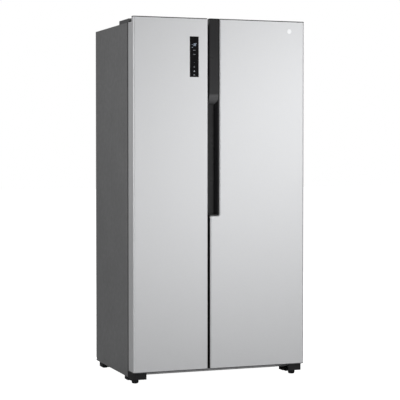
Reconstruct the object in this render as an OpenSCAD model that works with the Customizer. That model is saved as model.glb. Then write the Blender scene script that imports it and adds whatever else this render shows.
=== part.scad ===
// Two-door side by side refrigerator, freezer on the left and fridge on the right.
// Origin: on the floor, under the middle of the footprint. The doors face -Y.
// The left half of every mirrored pair is drawn first and the right half is its mirror image.

/* [Overall size] */
// Width over the cabinet and over the pair of doors
body_w = 900; // [896:1:910]
// Depth from the badge on the door to the back edge of the side panels
body_d = 652; // [648:1:664]
// Height of the door tops above the floor
body_h = 1780; // [1770:1:1800]

/* [Doors] */
// Thickness of a door without its seal
door_t = 76; // [74:1:78]
// Space between a closed door and the cabinet, filled by the seal
door_gap = 24; // [20:1:25]
// Height of the doors' lower edge above the floor
door_z0 = 60; // [58:1:62]
// Distance from the middle to the freezer door's free edge
left_edge = 67; // [66:1:70]
// Distance from the middle to the fridge door's free edge
right_edge = 57; // [55:1:59]
// Radius of the doors' vertical front edges
door_edge_r = 9; // [6:0.5:11]

/* [Handle] */
// Width of the black handle strip
handle_w = 52; // [48:1:56]
// Height of the strip's lower end above the floor
handle_z0 = 815; // [780:5:850]
// Height where the strip starts to roll back into the finger pocket
pocket_z1 = 1414; // [1350:2:1450]
// Depth of the finger pocket
pocket_d = 40; // [34:1:42]
// Radius of the roll above the finger pocket
lip_r = 54; // [50:1:60]
// Width of the groove along the strip's right and lower edges
groove_w = 6; // [4:0.5:8]

/* [Display] */
// Width of the display glass
display_w = 46; // [40:1:50]
// Height of the display glass
display_h = 197; // [180:1:204]

/* [Compartments] */
// Height of the compartment floors
cav_z0 = 105; // [100:1:110]
// Height of the compartment ceilings
cav_z1 = 1700; // [1690:1:1705]
// Height of the lowest glass shelf
shelf_z0 = 545; // [540:1:550]
// Distance between freezer shelves
freezer_pitch = 255; // [245:1:260]
// Distance between fridge shelves
fridge_pitch = 285; // [275:1:290]
// Thickness of the shelf glass
glass_t = 4; // [3:0.5:5]

/* [Fits] */
// Radius of the door hinge pins
pin_r = 6; // [5:0.5:7]
// Radial clearance of a shaft turning in its hole
run_gap = 0.05; // [0.02:0.01:0.09]

/* [Hidden] */
$fn = 64;
eps = 0.5;

// Main planes
half_w = body_w / 2;
back_y = body_d / 2;
badge_t = 1;
front_y = -back_y + badge_t;
door_back = front_y + door_t;
cab_front = door_back + door_gap;
cab_z0 = 30;
base_z = cab_z0 + 4;
cab_top = body_h - 25;

// Sheet and moulding thicknesses
sheet = 1;
plate = 2;
abs_t = 2;
flange_w = 18;

// Compartments: left and right wall of each, and the step over the machine compartment
freezer_x = [-392, -90];
fridge_x = [-33, 402];
cav_back = back_y - 70;
step_y = 75;
step_z = 300;
trim_inset = 4;
face_z0 = cav_z0 - 12;
face_z1 = cab_top - flange_w;
foam_back = back_y - 7;

// Machine compartment
mach_y0 = 118;
mach_z1 = 258;

// Doors
LEFT = [-half_w, -left_edge];
RIGHT = [-right_edge, half_w];
skin_t = 0.8;
skin_z0 = door_z0 + 4;
skin_z1 = body_h - 4.5;
shoulder_z = body_h - 26;
lip_t = 24;
cap_t = 16;
pin_x = half_w - 25;
pin_y = front_y + 50;
bore_depth = 28;
boss_r = 12;
fit_gap = 0.2;
groove_d = 8;
rim_r = 6;
rim_wall = 3;

// Inner face of the doors
dyke_free = 14;
dyke_hinge = 8;
dyke_w = 12;
dyke_d = 28;
ridge_d = 52;
rail_gap = 0.2;
dyke_clear_z = 7;
seal_w = 14;
seal_pin_gap = 5;
seal_edge_gap = 3;
seal_rest_gap = 0.4;
bin_z0 = 575;
bin_h = 95;
bin_back = door_back + 3;
bin_front = door_back + 104;
bin_wall = 3;
left_bin_z = [for (i = [0 : 4]) bin_z0 + 235 * i];
right_bin_z = [for (i = [0 : 3]) bin_z0 + 300 * i];

// Shelves and drawers
shelf_front = -130;
freezer_shelf_back = 184;
fridge_shelf_back = 222;
freezer_shelf_z = [for (i = [0 : 3]) shelf_z0 + freezer_pitch * i];
fridge_shelf_z = [for (i = [0 : 3]) shelf_z0 + fridge_pitch * i];
ledge_w = 9;
drawer_front = -145;
drawer_lip = 8;
drawer_side_gap = 10;
drawer_wall = 2.5;
lower_drawer = [108, 292];
upper_drawer = [312, 525];
lower_drawer_back = step_y - 8;
upper_drawer_back = cav_back - 14;

// Feet and rollers
foot_x = 417;
foot_y = -247;
stem_r = 5;
roller_x = 414;
rear_roller_x = 426;
front_roller = [-195, 15.5, 12];
rear_roller = [245, 14, 14];
roller_w = 20;
axle_r = 3;

// Fans
evap_fan = [-241, 215, 1130];
cond_fan = [-54, 218, 145];

// ---------- shared shapes ----------

// A box from its lowest corner to its highest corner
module block(low, high) {
    translate(low) cube(high - low);
}

// The same shape on the left and, mirrored, on the right
module both_sides() {
    children();
    mirror([1, 0, 0]) children();
}

// A rectangle with round corners
module round_rect(low, high, r) {
    translate([low.x + r, low.y]) square([high.x - low.x - 2 * r, high.y - low.y]);
    translate([low.x, low.y + r]) square([high.x - low.x, high.y - low.y - 2 * r]);
    for (x = [low.x + r, high.x - r], y = [low.y + r, high.y - r]) translate([x, y]) circle(r);
}

// An upright slab with a round-cornered outline in plan
module round_slab(low, high, r) {
    translate([0, 0, low.z]) linear_extrude(high.z - low.z) round_rect([low.x, low.y], [high.x, high.y], r);
}

// A rod along X from x0 to x1
module rod_x(x0, x1, y, z, r) {
    translate([x0, y, z]) rotate([0, 90, 0]) cylinder(h = x1 - x0, r = r);
}

// A rod along Y from y0 to y1
module rod_y(x, y0, y1, z, r) {
    translate([x, y0, z]) rotate([-90, 0, 0]) cylinder(h = y1 - y0, r = r);
}

// Half a ring of tube, open side towards -X, lying in the X-Z plane
module bend_xz(x, y, z, bend_r, tube_r) {
    translate([x, y, z]) rotate([90, 0, 0]) rotate([0, 0, -90])
        rotate_extrude(angle = 180) translate([bend_r, 0]) circle(tube_r, $fn = 24);
}

// Half a ring of tube, open side towards -X, lying in the X-Y plane
module bend_xy(x, y, z, bend_r, tube_r) {
    translate([x, y, z]) rotate([0, 0, -90])
        rotate_extrude(angle = 180) translate([bend_r, 0]) circle(tube_r, $fn = 24);
}

// ---------- cabinet ----------

// Folded steel side with a front and a back flange and a cut lower rear corner
module side_panel() {
    corner_cut = 14;
    difference() {
        translate([0, 0, cab_z0]) linear_extrude(cab_top - cab_z0) difference() {
            round_rect([-half_w, cab_front], [-half_w + 50, back_y], 2 * sheet);
            round_rect([-half_w + sheet, cab_front + sheet], [-half_w + 49, back_y - sheet], sheet);
            translate([-half_w + flange_w, cab_front - eps]) square([50, body_d]);
        }
        translate([-half_w - eps, back_y, cab_z0]) rotate([45, 0, 0])
            cube([flange_w + 1, corner_cut, corner_cut]);
    }
}

module side_panel_left() {
    color("dimgray") side_panel();
}

module side_panel_right() {
    color("dimgray") mirror([1, 0, 0]) side_panel();
}

module top_panel() {
    inner = half_w - flange_w;
    bend = 2 * sheet;
    color("gray") {
        block([-half_w + sheet, cab_front + bend, cab_top - sheet], [half_w - sheet, back_y - bend, cab_top]);
        block([-inner, cab_front, cab_top - sheet], [inner, cab_front + bend, cab_top]);
        block([-inner, cab_front, face_z1], [inner, cab_front + sheet, cab_top]);
    }
}

// Pressed steel back with two stiffening folds
module back_panel() {
    color("gray") difference() {
        union() {
            block([-half_w + sheet, foam_back, mach_z1 + plate],
                [half_w - sheet, foam_back + sheet, cab_top - sheet]);
            for (x = [-290, 290]) block([x - 20, foam_back + sheet, 330], [x + 20, foam_back + 4, 1690]);
        }
        for (x = [-290, 290]) block([x - 19, foam_back - eps, 331], [x + 19, foam_back + 3, 1689]);
    }
}

// Steel floor that rises over the machine compartment
module base_plate() {
    inner = half_w - sheet;
    color("darkgray") {
        block([-inner, cab_front + 4, base_z], [inner, back_y - 2 * sheet, base_z + plate]);
        block([-inner, mach_y0 - plate, base_z], [inner, mach_y0, mach_z1 + plate]);
        block([-inner, mach_y0 - plate, mach_z1], [inner, foam_back, mach_z1 + plate]);
    }
}

// Light grey beam across the front under the compartments, hemmed along its lower edge
module front_beam() {
    inner = half_w - flange_w;
    color("silver") {
        block([-inner, cab_front, base_z], [inner, cab_front + plate, face_z0]);
        block([-inner, cab_front, base_z], [inner, cab_front + 4, base_z + plate]);
    }
}

// Side outline of a compartment, grown by the given amount behind and around its mouth
module cavity_outline(grow) {
    polygon([
        [cab_front - eps, cav_z0 - grow],
        [step_y + grow, cav_z0 - grow],
        [step_y + grow, step_z - grow],
        [cav_back + grow, step_z - grow],
        [cav_back + grow, cav_z1 + grow],
        [cab_front - eps, cav_z1 + grow]
    ]);
}

module cavity(walls, grow) {
    translate([walls[0] - grow, 0, 0]) rotate([90, 0, 90])
        linear_extrude(walls[1] - walls[0] + 2 * grow) cavity_outline(grow);
}

module insulation_foam() {
    inner = half_w - sheet;
    color("khaki") difference() {
        block([-inner, cab_front + plate, base_z + plate], [inner, foam_back, cab_top - sheet]);
        block([-half_w, mach_y0 - plate, cab_z0], [half_w, back_y, mach_z1 + plate]);
        cavity(freezer_x, abs_t);
        cavity(fridge_x, abs_t);
    }
}

// Ledges on both side walls of a compartment; top is the height that rests on them
module ledges(walls, back, top, height) {
    block([walls[0] - eps, -115, top - height], [walls[0] + ledge_w, back, top]);
    block([walls[1] - ledge_w, -115, top - height], [walls[1] + eps, back, top]);
}

// Moulded liner: a deep tray with a flange round its mouth and ledges for shelves and drawers
module liner(walls, flange_x, shelf_heights, shelf_back) {
    rim = 8;
    difference() {
        union() {
            intersection() {
                cavity(walls, abs_t);
                block([-half_w, cab_front, cab_z0], [half_w, back_y, cab_top]);
            }
            block([flange_x[0], cab_front, face_z0], [flange_x[1], cab_front + abs_t, face_z1]);
        }
        cavity(walls, 0);
    }
    for (top = shelf_heights) ledges(walls, shelf_back - 12, top, 10);
    ledges(walls, lower_drawer_back, lower_drawer[1] - rim - 0.3, 10);
    ledges(walls, upper_drawer_back, upper_drawer[1] - rim - 0.3, 10);
}

module freezer_liner() {
    color("white") liner(freezer_x, [-half_w + flange_w, freezer_x[1] + trim_inset],
        freezer_shelf_z, freezer_shelf_back);
}

module fridge_liner() {
    color("white") liner(fridge_x, [fridge_x[0] - trim_inset, half_w - flange_w],
        fridge_shelf_z, fridge_shelf_back);
}

module mullion_trim() {
    color("gainsboro") block([freezer_x[1] + trim_inset, cab_front, face_z0],
        [fridge_x[0] - trim_inset, cab_front + plate, face_z1]);
}

// ---------- freezer and fridge fittings ----------

// Moulded wall in front of the evaporator, with rows of air slots
module evaporator_cover() {
    x0 = freezer_x[0] + 1;
    x1 = freezer_x[1] - 1;
    y0 = cav_back - 64;
    z0 = shelf_z0 + 16;
    z1 = cav_z1 - 10;
    slot_w = 34;
    color("whitesmoke") difference() {
        block([x0, y0, z0], [x1, cav_back, z1]);
        block([x0 + plate, y0 + 3, z0 + plate], [x1 - plate, cav_back + 1, z1 - plate]);
        for (shelf = freezer_shelf_z, i = [-2 : 2], row = [0 : 2])
            block([evap_fan.x + i * 46 - slot_w / 2, y0 - 1, shelf + 190 + row * 14],
                [evap_fan.x + i * 46 + slot_w / 2, y0 + 4, shelf + 195 + row * 14]);
    }
}

// Finned serpentine tube of the evaporator
module evaporator_coil() {
    x0 = -358;
    x1 = -124;
    runs = 8;
    pitch = 36;
    z0 = 640;
    tube_r = 4;
    fin_pitch = 22;
    rows = [cav_back - 44, cav_back - 20];
    color("lightgray") {
        for (y = rows, i = [0 : runs - 1]) rod_x(x0, x1, y, z0 + i * pitch, tube_r);
        for (y = rows, i = [0 : 2 : runs - 2]) bend_xz(x1, y, z0 + (i + 0.5) * pitch, pitch / 2, tube_r);
        for (y = rows, i = [1 : 2 : runs - 2])
            translate([x0, y, z0 + (i + 0.5) * pitch]) mirror([1, 0, 0]) bend_xz(0, 0, 0, pitch / 2, tube_r);
        for (x = [x0 + 8 : fin_pitch : x1 - 4])
            block([x, rows[0] - 12, z0 - 12], [x + 0.6, rows[1] + 12, z0 + (runs - 1) * pitch + 12]);
    }
}

// Motor with its shaft and the two struts that hold it to the back wall
module evaporator_fan_motor() {
    color("dimgray") {
        rod_y(evap_fan.x, evap_fan.y + 12, cav_back - 4, evap_fan.z, 22);
        rod_y(evap_fan.x, evap_fan.y - 10, evap_fan.y + 13, evap_fan.z, axle_r);
        block([evap_fan.x - 80, cav_back - 4, evap_fan.z - 10], [evap_fan.x + 80, cav_back, evap_fan.z + 10]);
        block([evap_fan.x - 10, cav_back - 4, evap_fan.z - 60], [evap_fan.x + 10, cav_back, evap_fan.z + 60]);
    }
}

// Fan rotor about its own Z axis, bored to run on a shaft of the given radius
module fan_rotor(hub_r, tip_r, depth, shaft_r) {
    blades = 5;
    difference() {
        union() {
            cylinder(h = depth, r = hub_r, center = true);
            for (i = [0 : blades - 1]) rotate([0, 0, i * 360 / blades])
                translate([(hub_r + tip_r) / 2 - 1, 0, 0]) rotate([32, 0, 0])
                    cube([tip_r - hub_r + 2, depth * 1.7, 1.6], center = true);
        }
        cylinder(h = depth * 3, r = shaft_r + run_gap, center = true);
    }
}

module evaporator_fan() {
    color("gainsboro") translate(evap_fan) rotate([-90, 0, 0]) fan_rotor(12, 52, 16, axle_r);
}

// Moulded air tower on the fridge's back wall
module fridge_air_duct() {
    mid = (fridge_x[0] + fridge_x[1]) / 2;
    y0 = cav_back - 24;
    z0 = shelf_z0 + 16;
    z1 = cav_z1 - 10;
    color("whitesmoke") difference() {
        block([mid - 75, y0, z0], [mid + 75, cav_back, z1]);
        block([mid - 73, y0 + 3, z0 + plate], [mid + 73, cav_back + 1, z1 - plate]);
        for (shelf = fridge_shelf_z, side = [-1, 1], row = [0 : 2])
            block([mid + side * 42 - 20, y0 - 1, shelf + 190 + row * 14],
                [mid + side * 42 + 20, y0 + 4, shelf + 195 + row * 14]);
    }
}

// Long lamp lens in the ceiling of each compartment
module lamp_lenses() {
    color("white") for (walls = [freezer_x, fridge_x]) {
        mid = (walls[0] + walls[1]) / 2;
        round_slab([mid - 90, -110, cav_z1 - 7], [mid + 90, -70, cav_z1], 12);
    }
}

module shelf_glass(walls, heights, back) {
    for (z = heights) block([walls[0] + 2, shelf_front, z], [walls[1] - 2, back, z + glass_t]);
}

module freezer_shelf_glass() {
    color("lightcyan") shelf_glass(freezer_x, freezer_shelf_z, freezer_shelf_back);
}

module fridge_shelf_glass() {
    color("lightcyan") shelf_glass(fridge_x, fridge_shelf_z, fridge_shelf_back);
}

// Front and rear strips that hold the edges of each glass shelf
module shelf_trim_pairs(walls, heights, back) {
    difference() {
        for (z = heights) {
            block([walls[0] + 2, shelf_front - 4, z - 4], [walls[1] - 2, shelf_front + 12, z + glass_t + 3]);
            block([walls[0] + 2, back - 8, z - 3], [walls[1] - 2, back + 3, z + glass_t + 10]);
        }
        shelf_glass(walls, heights, back);
    }
}

module shelf_trims() {
    color("silver") {
        shelf_trim_pairs(freezer_x, freezer_shelf_z, freezer_shelf_back);
        shelf_trim_pairs(fridge_x, fridge_shelf_z, fridge_shelf_back);
    }
}

// Open drawer hung by its side rims, with a grip lip along its front
module drawer(walls, heights, back) {
    x0 = walls[0] + drawer_side_gap;
    x1 = walls[1] - drawer_side_gap;
    rim = 8;
    grip_w = 90;
    mid = (x0 + x1) / 2;
    difference() {
        union() {
            block([x0, drawer_front, heights[0]], [x1, back, heights[1]]);
            block([walls[0] + 1, drawer_front + 34, heights[1] - rim], [walls[1] - 1, back, heights[1]]);
            block([x0, drawer_front - drawer_lip, heights[1] - 18], [x1, drawer_front + 1, heights[1]]);
        }
        block([x0 + drawer_wall, drawer_front + 4, heights[0] + drawer_wall],
            [x1 - drawer_wall, back - drawer_wall, heights[1] + 1]);
        block([mid - grip_w, drawer_front - drawer_lip + 3, heights[1] - 19],
            [mid + grip_w, drawer_front, heights[1] - 4]);
    }
}

module freezer_drawer_upper() {
    color("aliceblue") drawer(freezer_x, upper_drawer, upper_drawer_back);
}

module freezer_drawer_lower() {
    color("aliceblue") drawer(freezer_x, lower_drawer, lower_drawer_back);
}

module crisper_upper() {
    color("aliceblue") drawer(fridge_x, upper_drawer, upper_drawer_back);
}

module crisper_lower() {
    color("aliceblue") drawer(fridge_x, lower_drawer, lower_drawer_back);
}

// ---------- machine compartment ----------

comp_x = 230;
comp_y = 216;
comp_r = 72;
comp_foot = [84, 58];
comp_foot_z = base_z + plate + 12;

// Welded compressor shell on its foot plate
module compressor() {
    foot_t = 3;
    foot_half = [102, 74];
    shell_z0 = comp_foot_z + foot_t;
    shell_h = 165;
    edge = 34;
    terminal_x = comp_x + comp_r + 22;
    color("black") {
        difference() {
            round_slab([comp_x - foot_half.x, comp_y - foot_half.y, comp_foot_z],
                [comp_x + foot_half.x, comp_y + foot_half.y, shell_z0], 14);
            for (sx = [-1, 1], sy = [-1, 1])
                translate([comp_x + sx * comp_foot.x, comp_y + sy * comp_foot.y, comp_foot_z - 1])
                    cylinder(h = foot_t + 3, r = 6);
        }
        translate([comp_x, comp_y, shell_z0 - eps]) rotate_extrude() {
            square([comp_r - edge, shell_h]);
            square([comp_r, shell_h - edge]);
            translate([comp_r - edge, shell_h - edge]) circle(edge);
        }
        translate([comp_x, comp_y, shell_z0 + 78]) cylinder(h = 5, r = comp_r + 3);
        block([comp_x + comp_r - 12, comp_y - 26, shell_z0 + 20], [terminal_x, comp_y + 26, shell_z0 + 72]);
    }
}

module compressor_grommets() {
    floor_z = base_z + plate;
    color("darkslategray") for (sx = [-1, 1], sy = [-1, 1])
        translate([comp_x + sx * comp_foot.x, comp_y + sy * comp_foot.y, floor_z]) difference() {
            union() {
                cylinder(h = comp_foot_z - floor_z, r = 12);
                cylinder(h = comp_foot_z - floor_z + 5, r = 5.7);
            }
            translate([0, 0, -1]) cylinder(h = 30, r = 3);
        }
}

// Three stacked serpentine layers joined at one end
module condenser_coil() {
    x0 = -395;
    x1 = -125;
    y0 = 158;
    pitch = 22;
    runs = 6;
    layer = 30;
    z0 = 84;
    tube_r = 3;
    color("saddlebrown") {
        for (k = [0 : 2], i = [0 : runs - 1]) rod_x(x0, x1, y0 + i * pitch, z0 + k * layer, tube_r);
        for (k = [0 : 2], i = [0 : 2 : runs - 2])
            bend_xy(x1, y0 + (i + 0.5) * pitch, z0 + k * layer, pitch / 2, tube_r);
        for (k = [0 : 2], i = [1 : 2 : runs - 2])
            translate([x0, y0 + (i + 0.5) * pitch, z0 + k * layer]) mirror([1, 0, 0])
                bend_xy(0, 0, 0, pitch / 2, tube_r);
        for (k = [0 : 1]) translate([x0 - 1, y0 + (k == 0 ? runs - 1 : 0) * pitch, z0 + k * layer - 5])
            cylinder(h = layer + 10, r = tube_r + 1.2);
    }
}

// Plate with a round air collar that carries the fan motor on three arms
module condenser_fan_shroud() {
    ring_r = 68;
    y = cond_fan.y;
    z = cond_fan.z;
    plate_x = cond_fan.x - 16;
    color("gray") {
        difference() {
            union() {
                block([plate_x, mach_y0 + 6, base_z + plate], [plate_x + 3, back_y - 14, mach_z1 - 8]);
                rod_x(plate_x, plate_x + 40, y, z, ring_r + 3);
            }
            rod_x(plate_x - 1, plate_x + 41, y, z, ring_r);
        }
        rod_x(cond_fan.x + 16, cond_fan.x + 46, y, z, 20);
        rod_x(cond_fan.x - 10, cond_fan.x + 17, y, z, axle_r);
        for (a = [90, 210, 330]) translate([cond_fan.x + 18, y, z]) rotate([a, 0, 0])
            block([0, -4, 15], [4, 4, ring_r + 1]);
    }
}

module condenser_fan() {
    color("gainsboro") translate(cond_fan) rotate([0, 90, 0]) fan_rotor(12, 60, 16, axle_r);
}

// Shallow tray that catches the defrost water
module drain_pan() {
    color("dimgray") difference() {
        round_slab([-430, 128, base_z + plate + 1], [-92, 304, 60], 10);
        round_slab([-428, 130, base_z + plate + 3], [-94, 302, 61], 8);
    }
}

cover_y = back_y - 4;
gland_x = -385;
gland_z = 226;
gland_r = 7;
cover_screws = [for (x = [-425, 0, 425], z = [46, 250]) [x, z]];

// Rear cover of the machine compartment with two fields of air slots
module machine_cover() {
    slot_len = 52;
    color("gray") difference() {
        block([-half_w + 3, cover_y, 36], [half_w - 3, cover_y + 1.5, 262]);
        for (side = [-1, 1], i = [0 : 3], row = [0 : 6])
            block([side * 215 + (i - 1.5) * 64 - slot_len / 2, cover_y - 1, 70 + row * 20],
                [side * 215 + (i - 1.5) * 64 + slot_len / 2, cover_y + 3, 76 + row * 20]);
        rod_y(gland_x, cover_y - 1, cover_y + 3, gland_z, gland_r);
        for (s = cover_screws) rod_y(s[0], cover_y - 1, cover_y + 3, s[1], 2.6);
    }
}

// Grommet where a mains lead enters
module cord_gland() {
    color("black") difference() {
        union() {
            rod_y(gland_x, cover_y - 5, cover_y + 2, gland_z, gland_r - 0.1);
            rod_y(gland_x, cover_y + 1.5, back_y, gland_z, gland_r + 4);
        }
        rod_y(gland_x, cover_y - 6, back_y + 1, gland_z, 4);
    }
}

// Shallow steel lid over the main control board
module control_board_cover() {
    color("gray") difference() {
        block([-130, foam_back + sheet, 1470], [130, back_y, 1680]);
        block([-129, foam_back, 1471], [129, back_y - sheet, 1679]);
    }
}

// Brazed pipe through the listed points, all legs parallel to an axis
module pipe(points, r) {
    for (i = [0 : len(points) - 2]) {
        a = points[i];
        b = points[i + 1];
        d = b - a;
        translate(a) rotate([0, acos(d.z / norm(d)), atan2(d.y, d.x)]) cylinder(h = norm(d), r = r, $fn = 24);
    }
    for (i = [1 : len(points) - 2]) translate(points[i]) sphere(r + 0.5, $fn = 24);
}

module refrigerant_pipes() {
    top_z = 242;
    far_y = 315;
    shell_top = comp_foot_z + 168.2;
    color("peru") {
        pipe([[comp_x, comp_y, shell_top], [comp_x, comp_y, top_z], [comp_x, far_y, top_z],
            [-132, far_y, top_z], [-132, far_y, 150], [-132, 300, 150]], 3);
        pipe([[comp_x - 36, comp_y, shell_top], [comp_x - 36, comp_y, top_z - 10],
            [60, comp_y, top_z - 10], [60, comp_y, mach_z1]], 4);
        rod_x(20, 100, far_y, top_z, 6.5);
    }
}

// ---------- hinges ----------

hinge_plate_z = cab_top + 3;
hinge_bolts = [[-424, -205], [-388, -205], [-406, -165]];
hinge_cover_low = [-pin_x - boss_r - 1, pin_y - boss_r - 1];
hinge_cover_high = [-364, -50];

// Flat top hinge with its pin, bolted to the cabinet top
module hinge_top() {
    difference() {
        union() {
            translate([0, 0, cab_top]) linear_extrude(3)
                round_rect([-pin_x - boss_r + 1.5, pin_y - boss_r], [-372, -145], boss_r - 2);
            translate([-pin_x, pin_y, shoulder_z - bore_depth + 2])
                cylinder(h = hinge_plate_z - shoulder_z + bore_depth - 2, r = pin_r);
        }
        for (p = hinge_bolts) translate([p[0], p[1], cab_top - 1]) cylinder(h = 6, r = 3.3);
    }
}

module hinges_top() {
    color("gray") both_sides() hinge_top();
}

// Side outline of a hinge cover, shrunk by inset and open below by drop: it clears the door
// in front and stands on the cabinet behind
module hinge_cover_outline(inset, drop) {
    y0 = hinge_cover_low.y + inset;
    y1 = hinge_cover_high.y - inset;
    y_step = cab_front + 3 - inset;
    z_front = cab_top + 9 - drop;
    z_top = cab_top + 22 - inset;
    polygon([
        [y0, z_front], [y0, z_top - 6], [cab_front + 10, z_top], [y1, z_top],
        [y1, cab_top - drop], [y_step, cab_top - drop], [y_step, z_front]
    ]);
}

// The cover's outer form, or with an inset the space inside it
module hinge_cover_form(inset, drop) {
    low = hinge_cover_low + [inset, inset];
    high = hinge_cover_high - [inset, inset];
    intersection() {
        round_slab([low.x, low.y, cab_top - drop], [high.x, high.y, body_h], 12 - inset);
        translate([low.x, 0, 0]) rotate([90, 0, 90])
            linear_extrude(high.x - low.x) hinge_cover_outline(inset, drop);
    }
}

// Moulded cover over each top hinge
module hinge_cover() {
    difference() {
        hinge_cover_form(0, 0);
        hinge_cover_form(2, 1);
    }
}

module hinge_covers() {
    color("dimgray") both_sides() hinge_cover();
}

bracket_low = [-half_w + 4, pin_y - 28, 24];
bracket_high = [-half_w + 75, cab_front, door_z0 - 3];

// Lower hinge: a box bracket with an upright pin and the tapped hole for the foot
module hinge_bottom() {
    wall = 4;
    difference() {
        union() {
            round_slab(bracket_low, bracket_high - [0, 10, 0], 6);
            block([bracket_low.x, cab_front - 20, bracket_low.z], bracket_high);
            translate([-pin_x, pin_y, bracket_high.z - 1]) cylinder(h = 28, r = pin_r);
            translate([-pin_x, pin_y, bracket_high.z - 1]) cylinder(h = 3.7, r = 10);
        }
        block(bracket_low + [wall, wall, wall], bracket_high - [wall, -1, wall]);
        block([bracket_high.x - wall - 1, bracket_low.y + 2 * wall, bracket_low.z + wall],
            bracket_high + [1, 1, -wall]);
        translate([-foot_x, foot_y, bracket_low.z - 1]) cylinder(h = 6, r = stem_r + run_gap);
    }
}

module hinges_bottom() {
    color("black") both_sides() hinge_bottom();
}

// Bolts of the top hinges and screws of the rear cover
module screws() {
    color("silver") {
        both_sides() for (p = hinge_bolts) translate([p[0], p[1], cab_top]) {
            cylinder(h = 3, r = 3);
            translate([0, 0, 3]) cylinder(h = 4, r = 6);
        }
        for (s = cover_screws) {
            rod_y(s[0], cover_y - 6, cover_y + 2, s[1], 2.2);
            rod_y(s[0], cover_y + 1.5, cover_y + 3.5, s[1], 4.5);
        }
    }
}

// ---------- feet and rollers ----------

// Levelling foot: thick pad with a bevelled sole, and its screw stem
module foot() {
    pad_r = 17;
    bevel = 4;
    translate([-foot_x, foot_y, 0]) {
        cylinder(h = bevel, r1 = pad_r - bevel, r2 = pad_r);
        translate([0, 0, bevel]) cylinder(h = 20 - bevel, r = pad_r);
        cylinder(h = 46, r = stem_r);
    }
}

module foot_left() {
    color("black") foot();
}

module foot_right() {
    color("black") mirror([1, 0, 0]) foot();
}

// Housing round one roller, given its place [y, z, r] and its middle in X
module roller_bracket(x, roller, half_x, half_y, low_z) {
    y = roller[0];
    slot = [roller_w / 2 + 1, roller[2] + 3];
    difference() {
        round_slab([-x - half_x, y - half_y, low_z], [-x + half_x, y + half_y, base_z], 5);
        block([-x - slot.x, y - slot.y, low_z - 1], [-x + slot.x, y + slot.y, base_z - 1]);
        rod_x(-x - slot.x - 7, -x + slot.x + 7, y, roller[1], axle_r + run_gap);
    }
}

module roller_brackets() {
    color("black") both_sides() {
        roller_bracket(roller_x, front_roller, 33, 28, 12);
        roller_bracket(rear_roller_x, rear_roller, 22, 30, 7);
    }
}

module roller_axle(x, roller) {
    reach = roller_w / 2 + 7;
    rod_x(-x - reach, -x + reach, roller[0], roller[1], axle_r);
}

module roller_axles() {
    color("silver") both_sides() {
        roller_axle(roller_x, front_roller);
        roller_axle(rear_roller_x, rear_roller);
    }
}

// Wheel with a shallow groove on each face
module roller(x, roller) {
    half = roller_w / 2;
    difference() {
        rod_x(-x - half, -x + half, roller[0], roller[1], roller[2]);
        rod_x(-x - half - 1, -x + half + 1, roller[0], roller[1], axle_r + run_gap);
        for (side = [-1, 1]) translate([-x + side * half, roller[0], roller[1]]) rotate([0, 90, 0])
            difference() {
                cylinder(h = 3, r = roller[2] - 3, center = true);
                cylinder(h = 4, r = axle_r + 2, center = true);
            }
    }
}

module roller_front_left() {
    color("black") roller(roller_x, front_roller);
}

module roller_front_right() {
    color("black") mirror([1, 0, 0]) roller(roller_x, front_roller);
}

module roller_rear_left() {
    color("black") roller(rear_roller_x, rear_roller);
}

module roller_rear_right() {
    color("black") mirror([1, 0, 0]) roller(rear_roller_x, rear_roller);
}

// ---------- doors ----------

// Plan of a door, shrunk by inset at its front and sides, with round front edges
module door_plan(span, inset) {
    r = door_edge_r - inset;
    x0 = span[0] + inset;
    x1 = span[1] - inset;
    y0 = front_y + inset;
    translate([x0, y0 + r]) square([x1 - x0, door_back - y0 - r]);
    translate([x0 + r, y0]) square([x1 - x0 - 2 * r, door_t / 2]);
    for (x = [x0 + r, x1 - r]) translate([x, y0 + r]) circle(r);
}

module door_prism(span, inset, z0, z1) {
    translate([0, 0, z0]) linear_extrude(z1 - z0) door_plan(span, inset);
}

// Space behind the top lip, above the lower part of the door top
module above_shoulder() {
    block([-half_w - 1, front_y + lip_t, shoulder_z], [half_w + 1, door_back + 1, body_h + 1]);
}

// Folded steel outer skin
module door_skin(span) {
    difference() {
        door_prism(span, 0, skin_z0, skin_z1);
        door_prism(span, skin_t, skin_z0 - 1, skin_z1 + 1);
        block([span[0] + skin_t, door_back - 3, skin_z0 - 1], [span[1] - skin_t, door_back + 1, skin_z1 + 1]);
        above_shoulder();
    }
}

// Moulded top and bottom ends of a door with the hinge bushes
module door_caps(span, hinge_x) {
    difference() {
        union() {
            door_prism(span, 0, door_z0, skin_z0);
            door_prism(span, skin_t + 0.1, door_z0, door_z0 + cap_t);
            translate([hinge_x, pin_y, door_z0]) cylinder(h = bore_depth + 4, r = boss_r);
        }
        translate([hinge_x, pin_y, door_z0 - 1]) cylinder(h = bore_depth + 1, r = pin_r + run_gap);
    }
    difference() {
        union() {
            door_prism(span, skin_t + 0.1, shoulder_z - cap_t, skin_z1);
            door_prism(span, 0, skin_z1, body_h);
            translate([hinge_x, pin_y, shoulder_z - bore_depth - 4]) cylinder(h = bore_depth + 4, r = boss_r);
        }
        above_shoulder();
        translate([hinge_x, pin_y, shoulder_z - bore_depth])
            cylinder(h = bore_depth + 1, r = pin_r + run_gap);
    }
}

module door_foam(span, hinge_x) {
    difference() {
        door_prism(span, skin_t + 0.1, door_z0 + cap_t, shoulder_z - cap_t);
        block([-half_w, door_back - abs_t, door_z0], [half_w, door_back + 1, body_h]);
        translate([hinge_x, pin_y, door_z0]) cylinder(h = bore_depth + 5, r = boss_r + fit_gap);
        translate([hinge_x, pin_y, shoulder_z - bore_depth - 5])
            cylinder(h = bore_depth + 5, r = boss_r + fit_gap);
    }
}

function left_dyke() = [freezer_x[0] + dyke_hinge, freezer_x[1] - dyke_free];
function right_dyke() = [fridge_x[0] + dyke_free, fridge_x[1] - dyke_hinge];

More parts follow.
